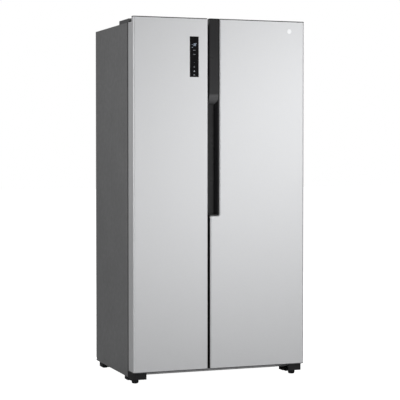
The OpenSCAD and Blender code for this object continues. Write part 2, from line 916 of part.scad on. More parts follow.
// Inner door panel with a raised frame, and the two rails on it that carry the bins
module door_liner(span, dyke) {
    z0 = cav_z0 + dyke_clear_z;
    z1 = cav_z1 - dyke_clear_z;
    block([span[0] + 1, door_back - abs_t, door_z0 + cap_t], [span[1] - 1, door_back, shoulder_z - cap_t]);
    difference() {
        block([dyke[0], door_back - 1, z0], [dyke[1], door_back + dyke_d, z1]);
        block([dyke[0] + dyke_w, door_back, z0 + dyke_w],
            [dyke[1] - dyke_w, door_back + dyke_d + 1, z1 - dyke_w]);
    }
    for (x = [dyke[0], dyke[1] - dyke_w])
        block([x, door_back + dyke_d + rail_gap, bin_z0 - 25], [x + dyke_w, door_back + ridge_d, z1]);
}

// Seal ring with a groove round its outer and inner flanks
module door_gasket(x0, x1) {
    z0 = cav_z0 - 6 - seal_w;
    z1 = cav_z1 + 6 + seal_w;
    y1 = cab_front - seal_rest_gap;
    groove = 3;
    difference() {
        block([x0, door_back, z0], [x1, y1, z1]);
        block([x0 + seal_w, door_back - 1, z0 + seal_w], [x1 - seal_w, y1 + 1, z1 - seal_w]);
        difference() {
            block([x0 - 1, door_back + 5, z0 - 1], [x1 + 1, door_back + 9, z1 + 1]);
            block([x0 + groove, door_back + 4, z0 + groove], [x1 - groove, door_back + 10, z1 - groove]);
        }
    }
}

// Open-topped storage bins between the ridges of a door
module door_bins(dyke, heights) {
    x0 = dyke[0] + dyke_w + 1;
    x1 = dyke[1] - dyke_w - 1;
    for (z = heights) difference() {
        round_slab([x0, bin_back, z], [x1, bin_front, z + bin_h], 8);
        round_slab([x0 + bin_wall, bin_back + bin_wall, z + bin_wall],
            [x1 - bin_wall, bin_front - bin_wall, z + bin_h + 1], 6);
    }
}

display_mid = [-138, 1591];

// Space of the display module, grown by the given clearance
module display_block(gap, depth) {
    block([display_mid.x - display_w / 2 - gap, front_y - gap, display_mid.y - display_h / 2 - gap],
        [display_mid.x + display_w / 2 + gap, front_y + depth, display_mid.y + display_h / 2 + gap]);
}

module left_door_skin() {
    color("silver") difference() {
        door_skin(LEFT);
        display_block(fit_gap, 6);
    }
}

module left_door_caps() {
    color("dimgray") door_caps(LEFT, -pin_x);
}

module left_door_foam() {
    color("khaki") difference() {
        door_foam(LEFT, -pin_x);
        display_block(1, 6);
    }
}

module left_door_liner() {
    color("white") door_liner(LEFT, left_dyke());
}

module left_door_gasket() {
    color("gray") door_gasket(-pin_x + seal_pin_gap, -left_edge - seal_edge_gap);
}

module left_door_bins() {
    color("aliceblue") door_bins(left_dyke(), left_bin_z);
}

module display_panel() {
    color("black") display_block(0, 5);
}

handle_x1 = -right_edge + handle_w;
handle_corner_r = 10;
handle_d = pocket_d + 3;

// The handle's outline on the door front, grown by gap: square above, one round lower corner
module handle_outline(gap) {
    x0 = -right_edge - 1;
    x1 = handle_x1 + gap;
    z0 = handle_z0 - gap;
    r = handle_corner_r + gap;
    translate([x0, z0]) square([x1 - r - x0, body_h + 1 - z0]);
    translate([x0, z0 + r]) square([x1 - x0, body_h + 1 - z0 - r]);
    translate([x1 - r, z0 + r]) circle(r);
}

// Everything behind that outline, from in front of the door back to the given depth
module handle_space(gap, depth) {
    translate([0, front_y + depth, 0]) rotate([90, 0, 0]) linear_extrude(depth + 1) handle_outline(gap);
}

// Groove along the right and lower edges of the strip
module handle_groove(depth) {
    difference() {
        handle_space(1, depth);
        translate([0, eps, 0]) handle_space(-groove_w, depth + 2);
    }
}

// The finger pocket: open on the left, with a sloping right wall and a round roll above
module pocket_space() {
    slope = 10.5;
    x_left = -right_edge - 2;
    x_right = handle_x1 - groove_w;
    floor_y = front_y + pocket_d;
    intersection() {
        translate([0, 0, handle_z0 + groove_w]) linear_extrude(body_h) polygon([
            [x_left, front_y - 1],
            [x_right, front_y - 1],
            [x_right, front_y + groove_d],
            [x_right - slope, floor_y],
            [x_left, floor_y]
        ]);
        difference() {
            block([x_left - 1, front_y - 2, handle_z0], [x_right + 1, floor_y + 1, pocket_z1]);
            rod_x(x_left - 2, x_right + 2, front_y + lip_r, pocket_z1, lip_r);
        }
    }
}

// Black moulding of the handle: a strip above and the finger pocket below, hollow behind
module handle_pocket() {
    wall = 3;
    color("black") difference() {
        intersection() {
            block([-right_edge, front_y, handle_z0 - 1], [handle_x1 + 1, front_y + handle_d, body_h]);
            handle_space(0, handle_d);
        }
        handle_groove(groove_d);
        pocket_space();
        above_shoulder();
        block([-right_edge + wall, front_y + wall, pocket_z1 + wall],
            [handle_x1 - groove_w - wall, front_y + handle_d + 1, shoulder_z - wall]);
    }
}

// Section of the skin's rolled edge beside the handle: a quarter round and a short wall
module rim_section() {
    translate([rim_r + fit_gap, rim_r]) intersection() {
        difference() {
            circle(rim_r);
            circle(rim_r - skin_t);
        }
        translate([-rim_r, -rim_r]) square(rim_r);
    }
    translate([fit_gap, rim_r]) square([skin_t, rim_wall]);
}

// The rolled edge: down the handle's right side, round its lower corner and along its lower side
module handle_rim() {
    corner = [handle_x1 - handle_corner_r, handle_z0 + handle_corner_r];
    translate([handle_x1, front_y, corner.y]) linear_extrude(skin_z1 - corner.y) rim_section();
    translate([corner.x, front_y, corner.y]) rotate([-90, 0, 0])
        rotate_extrude(angle = 90) translate([handle_corner_r, 0]) rim_section();
    translate([-right_edge, front_y, handle_z0]) rotate([0, 90, 0])
        linear_extrude(corner.x + right_edge) rim_section();
}

// Space that the handle and the rolled edge take out of the pieces inside the door
module handle_clearance() {
    handle_space(2 * fit_gap, handle_d + 2 * fit_gap);
    intersection() {
        handle_space(rim_r + 2 * fit_gap, rim_r + rim_wall + 1);
        block([-half_w, front_y - 2, 0], [half_w, door_back, skin_z1]);
    }
}

module right_door_skin() {
    color("silver") {
        difference() {
            door_skin(RIGHT);
            handle_space(fit_gap, handle_d + fit_gap);
            handle_space(rim_r + fit_gap, rim_r);
        }
        intersection() {
            door_prism(RIGHT, 0, skin_z0, skin_z1);
            handle_rim();
        }
    }
}

module right_door_caps() {
    color("dimgray") difference() {
        door_caps(RIGHT, pin_x);
        handle_clearance();
    }
}

module right_door_foam() {
    color("khaki") difference() {
        door_foam(RIGHT, pin_x);
        handle_clearance();
    }
}

module right_door_liner() {
    color("white") door_liner(RIGHT, right_dyke());
}

module right_door_gasket() {
    color("gray") door_gasket(-right_edge + seal_edge_gap, pin_x - seal_pin_gap);
}

module right_door_bins() {
    color("aliceblue") door_bins(right_dyke(), right_bin_z);
}

// Plain round badge
module badge() {
    color("silver") rod_y(367, -back_y, front_y, 1729, 12);
}

side_panel_left();
side_panel_right();
top_panel();
back_panel();
base_plate();
front_beam();
insulation_foam();
freezer_liner();
fridge_liner();
mullion_trim();
evaporator_cover();
evaporator_coil();
evaporator_fan_motor();
evaporator_fan();
fridge_air_duct();
lamp_lenses();
freezer_shelf_glass();
fridge_shelf_glass();
shelf_trims();
compressor();
compressor_grommets();
condenser_coil();
condenser_fan_shroud();
condenser_fan();
drain_pan();
machine_cover();
cord_gland();
control_board_cover();
refrigerant_pipes();
hinges_top();
hinge_covers();
hinges_bottom();
screws();
roller_brackets();
roller_axles();
foot_left();
foot_right();
roller_front_left();
roller_front_right();
roller_rear_left();
roller_rear_right();
freezer_drawer_upper();
freezer_drawer_lower();
crisper_upper();
crisper_lower();
left_door_skin();
left_door_caps();
left_door_foam();
left_door_liner();
left_door_gasket();
left_door_bins();
display_panel();
right_door_skin();
right_door_caps();
right_door_foam();
right_door_liner();
right_door_gasket();
right_door_bins();
handle_pocket();
badge();
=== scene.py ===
"""Looks of the side by side refrigerator: materials, fine detail pieces, light and camera.

Lengths are in metres; a number in millimetres is multiplied by MM. The front faces -Y.
"""
import math

import bpy
import bmesh
from mathutils import Matrix, Vector


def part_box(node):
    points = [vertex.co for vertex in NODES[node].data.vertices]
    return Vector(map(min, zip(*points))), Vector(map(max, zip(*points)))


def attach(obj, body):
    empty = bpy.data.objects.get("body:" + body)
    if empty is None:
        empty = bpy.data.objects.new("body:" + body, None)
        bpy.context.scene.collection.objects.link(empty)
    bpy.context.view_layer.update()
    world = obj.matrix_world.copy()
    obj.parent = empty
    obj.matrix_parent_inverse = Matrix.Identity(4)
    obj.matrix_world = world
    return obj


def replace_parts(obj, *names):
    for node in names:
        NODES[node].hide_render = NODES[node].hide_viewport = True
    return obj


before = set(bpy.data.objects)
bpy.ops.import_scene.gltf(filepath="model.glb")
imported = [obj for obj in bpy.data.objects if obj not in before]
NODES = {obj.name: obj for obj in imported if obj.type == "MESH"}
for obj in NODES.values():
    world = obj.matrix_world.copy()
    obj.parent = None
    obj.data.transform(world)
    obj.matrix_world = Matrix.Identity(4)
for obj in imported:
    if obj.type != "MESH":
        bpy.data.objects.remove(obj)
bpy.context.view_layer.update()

MM = 0.001


# ---------------------------------------------------------------- materials

# Sockets of a Mix node that mixes colours
MIX_FACTOR, MIX_A, MIX_B, MIX_RESULT = 0, 6, 7, 2
# Values that a noise texture mostly stays between
NOISE_LOW, NOISE_HIGH = 0.3, 0.7


class Mat:
    """A Principled material with helpers that add procedural detail.

    A noise scale is in cells per metre, one number for all axes or one for each. The heights
    of bumps are in metres.
    """

    def __init__(self, name, color, rough, metal=0.0):
        self.name = name
        self.mat = bpy.data.materials.new(name)
        self.mat.use_nodes = True
        self.tree = self.mat.node_tree
        self.bsdf = self.tree.nodes["Principled BSDF"]
        self.color = color
        self.rough = rough
        self.set("Base Color", (*color, 1.0))
        self.set("Roughness", rough)
        self.set("Metallic", metal)
        self.coord = self.node("ShaderNodeTexCoord").outputs["Object"]

    def set(self, socket, value):
        """Sets a constant on the shader itself."""
        self.bsdf.inputs[socket].default_value = value
        return self

    def node(self, kind, **values):
        made = self.tree.nodes.new(kind)
        for key, value in values.items():
            setattr(made, key, value)
        return made

    def link(self, source, target):
        self.tree.links.new(source, target)

    def noise(self, scale, detail):
        """Noise on the object's own coordinates."""
        mapping = self.node("ShaderNodeMapping")
        mapping.inputs["Scale"].default_value = scale if isinstance(scale, tuple) else (scale,) * 3
        self.link(self.coord, mapping.inputs["Vector"])
        made = self.node("ShaderNodeTexNoise")
        made.inputs["Scale"].default_value = 1.0
        made.inputs["Detail"].default_value = detail
        self.link(mapping.outputs["Vector"], made.inputs["Vector"])
        return made.outputs["Fac"]

    def ramp(self, source, low, high, out_low, out_high):
        """Maps the range from low to high onto the range from out_low to out_high."""
        made = self.node("ShaderNodeMapRange")
        for key, value in (("From Min", low), ("From Max", high), ("To Min", out_low), ("To Max", out_high)):
            made.inputs[key].default_value = value
        self.link(source, made.inputs["Value"])
        return made.outputs["Result"]

    def mix_base(self, first, second, factor):
        """Mixes the base colour from two colours."""
        mix = self.node("ShaderNodeMix", data_type="RGBA")
        mix.inputs[MIX_A].default_value = (*first, 1.0)
        mix.inputs[MIX_B].default_value = (*second, 1.0)
        self.link(factor, mix.inputs[MIX_FACTOR])
        self.link(mix.outputs[MIX_RESULT], self.bsdf.inputs["Base Color"])
        return self

    def mottle(self, scale, amount, detail=2.0):
        """Lets the base colour drift by the given share of itself."""
        darker = [c * (1 - amount) for c in self.color]
        lighter = [min(1.0, c * (1 + amount)) for c in self.color]
        field = self.ramp(self.noise(scale, detail), NOISE_LOW, NOISE_HIGH, 0.0, 1.0)
        return self.mix_base(darker, lighter, field)

    def painted_floor_light(self, color):
        """Paints light from the floor into the base colour: a paler colour where the surface faces down, as
        painted light. The change runs between two values of the normal's Z."""
        begin, complete = -0.01, -0.22
        geometry = self.node("ShaderNodeNewGeometry")
        parts = self.node("ShaderNodeSeparateXYZ")
        self.link(geometry.outputs["Normal"], parts.inputs["Vector"])
        return self.mix_base(self.color, color, self.ramp(parts.outputs["Z"], begin, complete, 0.0, 1.0))

    def uneven_gloss(self, scale, amount, detail=2.0):
        """Lets the roughness drift by the given amount either way."""
        field = self.ramp(self.noise(scale, detail), NOISE_LOW, NOISE_HIGH,
                          self.rough - amount, self.rough + amount)
        self.link(field, self.bsdf.inputs["Roughness"])
        return self

    def relief(self, source, height):
        """Bends the shading by a height field."""
        made = self.node("ShaderNodeBump")
        made.inputs["Distance"].default_value = height
        self.link(source, made.inputs["Height"])
        self.link(made.outputs["Normal"], self.bsdf.inputs["Normal"])
        return self

    def bump(self, scale, height, detail=1.0):
        """Adds the grain of a moulded or painted surface."""
        return self.relief(self.noise(scale, detail), height)

    def ribs(self, scale, height):
        """Adds straight ribs that follow each other along X, 0.31 m apart at a scale of 1."""
        wave = self.node("ShaderNodeTexWave", bands_direction="X")
        wave.inputs["Scale"].default_value = scale
        self.link(self.coord, wave.inputs["Vector"])
        return self.relief(wave.outputs["Fac"], height)


def metals():
    return (
        Mat("door_silver", (0.58, 0.585, 0.595), 0.46, 0.6)
        .mottle(900.0, 0.035).uneven_gloss((1400.0, 1400.0, 500.0), 0.05)
        .bump((1600.0, 1600.0, 260.0), 0.00002),
        Mat("side_grey", (0.150, 0.151, 0.154), 0.5, 0.2)
        .mottle(6.0, 0.04).uneven_gloss(40.0, 0.05).bump(700.0, 0.00012, 2.0),
        Mat("zinc_sheet", (0.42, 0.43, 0.44), 0.46, 0.9)
        .mottle(60.0, 0.08, 3.0).uneven_gloss(90.0, 0.06, 3.0).bump(240.0, 0.00002),
        Mat("beam_grey", (0.50, 0.50, 0.51), 0.5, 0.2).mottle(30.0, 0.04).bump(600.0, 0.00006),
        Mat("black_steel", (0.007, 0.007, 0.008), 0.48).set("Specular IOR Level", 0.25)
        .mottle(60.0, 0.25).uneven_gloss(120.0, 0.1).bump(500.0, 0.0001),
        Mat("hinge_steel", (0.55, 0.55, 0.56), 0.34, 1.0)
        .mottle(90.0, 0.08).uneven_gloss((40.0, 900.0, 40.0), 0.08),
        Mat("bright_steel", (0.80, 0.80, 0.81), 0.14, 1.0).uneven_gloss(300.0, 0.05).mottle(200.0, 0.03),
        Mat("aluminium", (0.78, 0.79, 0.80), 0.32, 1.0).mottle(80.0, 0.06).uneven_gloss(150.0, 0.08),
        Mat("copper", (0.62, 0.29, 0.16), 0.33, 1.0).mottle(120.0, 0.18, 3.0).uneven_gloss(160.0, 0.1),
        Mat("trim_silver", (0.55, 0.56, 0.58), 0.3, 0.7)
        .mottle(400.0, 0.04).uneven_gloss((40.0, 900.0, 900.0), 0.05),
        Mat("badge_steel", (0.70, 0.705, 0.715), 0.42, 0.6).mottle(300.0, 0.03).uneven_gloss(300.0, 0.04),
    )


def plastics():
    return (
        Mat("dark_plastic", (0.060, 0.061, 0.064), 0.52)
        .mottle(25.0, 0.06).uneven_gloss(200.0, 0.06).bump(1500.0, 0.00008, 2.0),
        Mat("black_plastic", (0.007, 0.007, 0.008), 0.5).set("Specular IOR Level", 0.25)
        .mottle(80.0, 0.2).uneven_gloss(150.0, 0.08).bump(1200.0, 0.00008),
        Mat("gloss_black", (0.015, 0.015, 0.016), 0.3).set("Specular IOR Level", 0.12)
        # The handle's scoop faces down: painted light from the floor makes it paler here.
        .painted_floor_light((0.11, 0.11, 0.113)).uneven_gloss(20.0, 0.03).bump(30.0, 0.00003),
        Mat("white_abs", (0.80, 0.81, 0.815), 0.34)
        .mottle(5.0, 0.01).uneven_gloss(30.0, 0.03).bump(300.0, 0.000006),
        Mat("clear_plastic", (0.92, 0.95, 0.96), 0.12).set("Alpha", 0.38).set("IOR", 1.49)
        .mottle(12.0, 0.02).uneven_gloss(60.0, 0.03),
        Mat("foam", (0.78, 0.68, 0.44), 0.92)
        .mottle(30.0, 0.1, 4.0).uneven_gloss(80.0, 0.05).bump(260.0, 0.0006, 4.0),
        Mat("seal_grey", (0.13, 0.13, 0.135), 0.62)
        .mottle(20.0, 0.08).uneven_gloss(120.0, 0.06).bump(900.0, 0.00006),
        Mat("black_rubber", (0.016, 0.016, 0.016), 0.72)
        .mottle(60.0, 0.2).uneven_gloss(150.0, 0.08).bump(900.0, 0.0001, 2.0),
    )


def glasses():
    return (
        Mat("display_glass", (0.002, 0.002, 0.003), 0.08).set("Specular IOR Level", 0.03)
        .mottle(20.0, 0.2).uneven_gloss(30.0, 0.02),
        Mat("shelf_glass", (0.72, 0.88, 0.84), 0.05).set("Alpha", 0.32).set("IOR", 1.5)
        .mottle(4.0, 0.02).uneven_gloss(20.0, 0.02),
    )


def glowing(name, color, rough, light, strength):
    """A material that also gives off light of the given colour."""
    return Mat(name, color, rough).set("Emission Color", (*light, 1.0)).set("Emission Strength", strength)


def lights_and_marks():
    return (
        glowing("display_light", (0.30, 0.35, 0.42), 0.4, (0.66, 0.80, 1.0), 0.35).mottle(600.0, 0.15),
        glowing("display_print", (0.30, 0.32, 0.35), 0.45, (0.7, 0.75, 0.8), 0.12).mottle(600.0, 0.15),
        glowing("lamp_lens", (0.90, 0.91, 0.90), 0.25, (1.0, 0.98, 0.94), 24.0)
        .mottle(20.0, 0.02).ribs(250.0, 0.0004),
    )


# One material for each slot of the record, and four more that only this script uses
MATERIALS = {made.name: made.mat for made in metals() + plastics() + glasses() + lights_and_marks()}


# ---------------------------------------------------------------- mesh helpers

SHARP_ANGLE = 35.0   # degrees


def clean_normals(obj):
    """Drops the imported corner normals, so that the bevel can shade its own edges."""
    mesh = obj.data
    if "custom_normal" in mesh.attributes:
        mesh.attributes.remove(mesh.attributes["custom_normal"])


def soften(obj, width, segments=3):
    """Rounds the hard edges of an object with modifiers only."""
    clean_normals(obj)
    obj.data.shade_smooth()
    weld = obj.modifiers.new("weld", "WELD")
    weld.merge_threshold = 0.01 * MM
    bevel = obj.modifiers.new("bevel", "BEVEL")
    bevel.width = width
    bevel.segments = segments
    bevel.limit_method = "ANGLE"
    bevel.angle_limit = math.radians(SHARP_ANGLE)
    bevel.harden_normals = True
    bevel.use_clamp_overlap = True


def add_mesh(name, bm, body, slot, look=None, sharp=SHARP_ANGLE):
    """Turns a bmesh into a piece that rides on a body. It has the material of its slot,
    or the one named as look."""
    mesh = bpy.data.meshes.new(name)
    bmesh.ops.recalc_face_normals(bm, faces=bm.faces[:])
    bm.to_mesh(mesh)
    bm.free()
    mesh.shade_smooth()
    mesh.set_sharp_from_angle(angle=math.radians(sharp))
    obj = bpy.data.objects.new(name, mesh)
    bpy.context.scene.collection.objects.link(obj)
    mesh.materials.append(MATERIALS[look or slot])
    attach(obj, body)
    return obj


def add_box(bm, low, high):
    corners = [bm.verts.new((x, y, z)) for z in (low[2], high[2]) for y in (low[1], high[1])
               for x in (low[0], high[0])]
    for quad in ((0, 2, 3, 1), (4, 5, 7, 6), (0, 1, 5, 4), (2, 6, 7, 3), (0, 4, 6, 2), (1, 3, 7, 5)):
        bm.faces.new([corners[i] for i in quad])


def add_prism(bm, outline, axis, low, high):
    """Extrudes a closed outline of 2D points along axis X, Y or Z; the outline's two
    coordinates are the remaining axes in X, Y, Z order."""

    def place(point, depth):
        p = list(point)
        p.insert("XYZ".index(axis), depth)
        return bm.verts.new(p)

    near = [place(p, low) for p in outline]
    far = [place(p, high) for p in outline]
    count = len(outline)
    bm.faces.new(near)
    bm.faces.new(far[::-1])
    for i in range(count):
        j = (i + 1) % count
        bm.faces.new((near[i], near[j], far[j], far[i]))


def add_lathe(bm, profile, centre, axis, segments):
    """Spins a profile of (radius, height) points about an axis X, Y or Z through centre.
    A profile that starts and ends on the axis closes by itself; any other is a closed loop."""
    on_axis = 1e-9
    frame_axes = {"X": (Vector((0, 1, 0)), Vector((0, 0, 1)), Vector((1, 0, 0))),
                  "Y": (Vector((0, 0, 1)), Vector((1, 0, 0)), Vector((0, 1, 0))),
                  "Z": (Vector((1, 0, 0)), Vector((0, 1, 0)), Vector((0, 0, 1)))}
    u, v, w = frame_axes[axis]
    centre = Vector(centre)
    rings = []
    for radius, height in profile:
        if radius < on_axis:
            rings.append([bm.verts.new(centre + w * height)])
        else:
            rings.append([bm.verts.new(centre + w * height + radius * (u * math.cos(a) + v * math.sin(a)))
                          for a in (math.tau * k / segments for k in range(segments))])
    closed = profile[0][0] > on_axis
    last = len(rings) if closed else len(rings) - 1
    for i in range(last):
        a, b = rings[i], rings[(i + 1) % len(rings)]
        for k in range(segments):
            n = (k + 1) % segments
            quad = [a[k % len(a)], a[n % len(a)], b[n % len(b)], b[k % len(b)]]
            face = list(dict.fromkeys(quad))
            if len(face) > 2:
                bm.faces.new(face)


def add_frame_sweep(bm, x0, x1, z0, z1, section):
    """Sweeps a closed section round a rectangle in the X-Z plane with mitred corners.
    A section point is (inset from the outer edge, y)."""
    rings = []
    for cx, cz, sx, sz in ((x0, z0, 1, 1), (x1, z0, -1, 1), (x1, z1, -1, -1), (x0, z1, 1, -1)):
        rings.append([bm.verts.new((cx + sx * inset, y, cz + sz * inset)) for inset, y in section])
    count = len(section)
    for i in range(4):
        a, b = rings[i], rings[(i + 1) % 4]
        for k in range(count):
            n = (k + 1) % count
            bm.faces.new((a[k], a[n], b[n], b[k]))


def rounded_rect(low, high, radius, steps):
    """Points of a rectangle with round corners, counter-clockwise."""
    left, right = low[0] + radius, high[0] - radius
    bottom, top = low[1] + radius, high[1] - radius
    points = []
    for cx, cy, start in ((right, top, 0), (left, top, 90), (left, bottom, 180), (right, bottom, 270)):
        for k in range(steps + 1):
            a = math.radians(start + 90 * k / steps)
            points.append((cx + radius * math.cos(a), cy + radius * math.sin(a)))
    return points


# ---------------------------------------------------------------- CAD nodes that stay

# Bevel width of each softened node. Large flat faces with cut-outs are shaded unevenly by the
# bevel's normals, so the door skins and the rear cover keep their CAD edges, as do the nodes
# that are hidden, finely detailed or replaced.
EDGE_MM = {
    "side_panel_left": 0.4, "side_panel_right": 0.4, "top_panel": 0.4, "back_panel": 0.8, "base_plate": 0.5,
    "front_beam": 0.8, "freezer_liner": 2.0, "fridge_liner": 2.0, "mullion_trim": 0.8,
    "evaporator_cover": 0.8, "evaporator_fan_motor": 1.0, "fridge_air_duct": 0.8, "lamp_lenses": 1.5,
    "freezer_shelf_glass": 0.8, "fridge_shelf_glass": 0.8, "shelf_trims": 1.0, "compressor": 1.5,
    "condenser_fan_shroud": 0.8, "drain_pan": 0.6, "control_board_cover": 1.2,
    "hinges_top": 0.5, "hinge_covers": 2.5, "hinges_bottom": 0.9,
    "roller_brackets": 1.2, "roller_axles": 0.5,
    "freezer_drawer_upper": 1.2, "freezer_drawer_lower": 1.2, "crisper_upper": 1.2, "crisper_lower": 1.2,
    "left_door_caps": 0.5, "right_door_caps": 0.5,
    "left_door_liner": 3.0, "right_door_liner": 3.0, "left_door_bins": 1.2, "right_door_bins": 1.2,
    "display_panel": 0.6, "handle_pocket": 1.6,
}


def dress_nodes():
    """Gives every CAD node the material of its slot and its softened edges."""
    for name, obj in NODES.items():
        for held in obj.material_slots:
            slot = held.material.name.split(".")[0]
            held.material = MATERIALS[slot]
        if name in EDGE_MM:
            soften(obj, EDGE_MM[name] * MM)
    for held in NODES["lamp_lenses"].material_slots:
        held.material = MATERIALS["lamp_lens"]


dress_nodes()


# ---------------------------------------------------------------- display

DIGIT_BARS = {"1": "bc", "8": "abcdefg"}


def seven_segments(bm, digit, x, z, width, height, y0, y1):
    """One digit of a seven-segment display with its lower left corner at x, z."""
    t = width * 0.2
    mid, right_bar = height / 2, width - t
    bars = {"a": (t, height - t, right_bar, height), "b": (right_bar, mid + t / 3, width, height - t / 2),
            "c": (right_bar, t / 2, width, mid - t / 3), "d": (t, 0, right_bar, t),
            "e": (0, t / 2, t, mid - t / 3), "f": (0, mid + t / 3, t, height - t / 2),
            "g": (t, mid - t / 2, right_bar, mid + t / 2)}
    for name in DIGIT_BARS[digit]:
        left, low, right, high = bars[name]
        add_prism(bm, rounded_rect((x + left, z + low), (x + right, z + high), t * 0.3, 2), "Y", y0, y1)


def ring(bm, x, z, outer, inner, y0, y1):
    add_lathe(bm, [(outer, y0), (outer, y1), (inner, y1), (inner, y0)], (x, 0, z), "Y", 24)


def display_marks():
    """Lit digits and faint touch marks just proud of the display glass. A mark's height is
    given as its share of the glass, counted from the top."""
    low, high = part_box("display_panel")
    mid = (low.x + high.x) / 2
    y0, y1 = low.y - 0.35 * MM, low.y + 0.1 * MM
    tall = high.z - low.z

    def at(share):
        return high.z - share * tall

    def dash(bm, x, z, width, height):
        add_prism(bm, rounded_rect((x - width / 2, z - height / 2), (x + width / 2, z + height / 2),
                                   0.45 * height, 3), "Y", y0, y1)

    lit = bmesh.new()
    digit_w, digit_h = 7.0 * MM, 13.0 * MM
    digits_z = at(0.235)
    line = 1.4 * MM
    seven_segments(lit, "1", mid - 9 * MM, digits_z, digit_w, digit_h, y0, y1)
    seven_segments(lit, "8", mid + 0.5 * MM, digits_z, digit_w, digit_h, y0, y1)
    minus_x, degree_x, degree_z = mid - 10.5 * MM, mid + 10.5 * MM, digits_z + 11.5 * MM
    dash(lit, minus_x, digits_z + digit_h / 2, 4.0 * MM, line)
    ring(lit, degree_x, degree_z, 1.7 * MM, 1.0 * MM, y0, y1)
    dash(lit, minus_x, at(0.27), 3.0 * MM, 3.0 * MM)
    add_mesh("display_digits", lit, "left_door", "display_glass", "display_light")

    faint = bmesh.new()
    for share in (0.34, 0.44):
        dash(faint, mid, at(share), 12.0 * MM, line)
    dash(faint, mid, at(0.64), 2.0 * MM, 2.0 * MM)
    ring(faint, mid, at(0.75), 3.2 * MM, 2.3 * MM, y0, y1)
    flask, flask_half, flask_h = at(0.87), 4.5 * MM, 7.5 * MM
    outline = [(mid - flask_half, flask), (mid + flask_half, flask), (mid, flask + flask_h)]
    add_prism(faint, outline, "Y", y0, y1)
    for k in range(3):
        dash(faint, mid, at(0.945) + (k - 1) * 2.6 * MM, (9 - 2 * k) * MM, 1.0 * MM)
    add_mesh("display_icons", faint, "left_door", "display_glass", "display_print")


display_marks()


# ---------------------------------------------------------------- edges of the doors, painted shade in their gap, and inner trims

DOOR_EDGE_R = 9 * MM
SKIN_Z0, SKIN_Z1 = 64.2 * MM, 1775.3 * MM


def corner_filler(free, front, back, side, cover, proud, nose, step):
    """Plan outline of a profile on a door's free side, which lies at x = free. It fills the
    door's round edge up to cover from that side, starts step behind the front, stands proud
    of the side by proud and ends in a round of radius nose; side is 1 on a right-hand edge."""
    inset = 0.2 * MM
    nose_steps, edge_steps = 4, 6
    steepest = math.acos(0.17)
    r = DOOR_EDGE_R - inset
    tip = free + side * proud
    points = [(free - side * cover, front + step)]
    for k in range(nose_steps + 1):
        a = math.radians(90 - 90 / nose_steps * k)
        points.append((tip - side * nose * (1 - math.cos(a)), front + step + nose * (1 - math.sin(a))))
    points += [(tip, back), (free - side * inset, back)]
    last = min(steepest, math.acos((r - cover) / r))
    for k in range(edge_steps + 1):
        a = last * k / edge_steps
        points.append((free - side * (inset + r * (1 - math.cos(a))),
                       front + inset + r * (1 - math.sin(a))))
    return points


def freezer_door_edge():
    """Silver profile that makes the freezer door's free edge crisp."""
    low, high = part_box("left_door_skin")
    back = high.y - 1.5 * MM
    outline = corner_filler(high.x, low.y, back, 1,
                            cover=8.8 * MM, proud=0.3 * MM, nose=4.5 * MM, step=0.05 * MM)
    bm = bmesh.new()
    add_prism(bm, outline, "Z", SKIN_Z0, SKIN_Z1)
    add_mesh("left_door_edge", bm, "left_door", "door_silver")


def fridge_door_gap_shade():
    """Black plate on the free side of the fridge door. It is painted shade for the gap between the doors,
    and beside the handle it also stands for the handle's black plastic. It is cut out round the open finger
    pocket, and wrapped round the door's edge below the handle."""
    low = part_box("handle_pocket")[0]
    front, back = low.y + 0.8 * MM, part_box("right_door_skin")[1].y - 1.5 * MM
    proud, shoulder, top, shoulder_y = 2.5 * MM, 1752 * MM, 1778 * MM, low.y + 23 * MM
    roll_r, roll_z, roll_steps = 54.5 * MM, 1414 * MM, 8
    pocket_y, pocket_z, rim_z = low.y + 40.5 * MM, low.z + 5.5 * MM, low.z - 10 * MM
    sweep = math.acos((roll_r - (pocket_y - low.y)) / roll_r)
    outline = [(front, top)]
    for k in range(roll_steps + 1):
        a = sweep * k / roll_steps
        outline.append((max(front, low.y + roll_r * (1 - math.cos(a))), roll_z - roll_r * math.sin(a)))
    outline += [(pocket_y, pocket_z), (front, pocket_z), (front, SKIN_Z0), (back, SKIN_Z0), (back, shoulder),
                (shoulder_y, shoulder), (shoulder_y, top)]
    bm = bmesh.new()
    add_prism(bm, outline, "X", low.x - proud, low.x)
    wrap = corner_filler(low.x, low.y, low.y + 40 * MM, -1,
                         cover=1.0 * MM, proud=proud, nose=1.5 * MM, step=0.1 * MM)
    add_prism(bm, wrap, "Z", SKIN_Z0, rim_z)
    # A black sheet where the gap between the doors is in shade: painted shade.
    add_mesh("right_door_gap_shade", bm, "right_door", "gloss_black")


def trim_strip(name, body, spans, y_face, proud):
    """Silver strips with round ends on faces in the X-Z plane; a span is x0, z0, x1, z1."""
    bm = bmesh.new()
    for x0, z0, x1, z1 in spans:
        add_prism(bm, rounded_rect((x0, z0), (x1, z1), 0.48 * (z1 - z0), 6), "Y",
                  *sorted((y_face, y_face + proud)))
    strip = add_mesh(name, bm, body, "trim_silver")
    soften(strip, 0.25 * MM, 2)


def inner_trims():
    """A strip along the front of every door bin and every drawer lip."""
    bin_h, first_bin = 95 * MM, 575 * MM
    strip_low, strip_high = 15 * MM, 4 * MM
    for door, pitch, count in (("left_door", 235 * MM, 5), ("right_door", 300 * MM, 4)):
        low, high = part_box(f"{door}_bins")
        side = 9 * MM
        tops = [first_bin + pitch * k + bin_h for k in range(count)]
        spans = [(low.x + side, top - strip_low, high.x - side, top - strip_high) for top in tops]
        trim_strip(f"{door}_bin_trims", door, spans, high.y - 0.1 * MM, proud=0.9 * MM)
    for node in ("freezer_drawer_upper", "freezer_drawer_lower", "crisper_upper", "crisper_lower"):
        low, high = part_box(node)
        side = 11 * MM
        spans = [(low.x + side, high.z - strip_low, high.x - side, high.z - strip_high)]
        trim_strip(f"{node}_trim", f"{node}_body", spans, low.y + 0.1 * MM, proud=-0.8 * MM)


freezer_door_edge()
fridge_door_gap_shade()
inner_trims()


# ---------------------------------------------------------------- badge

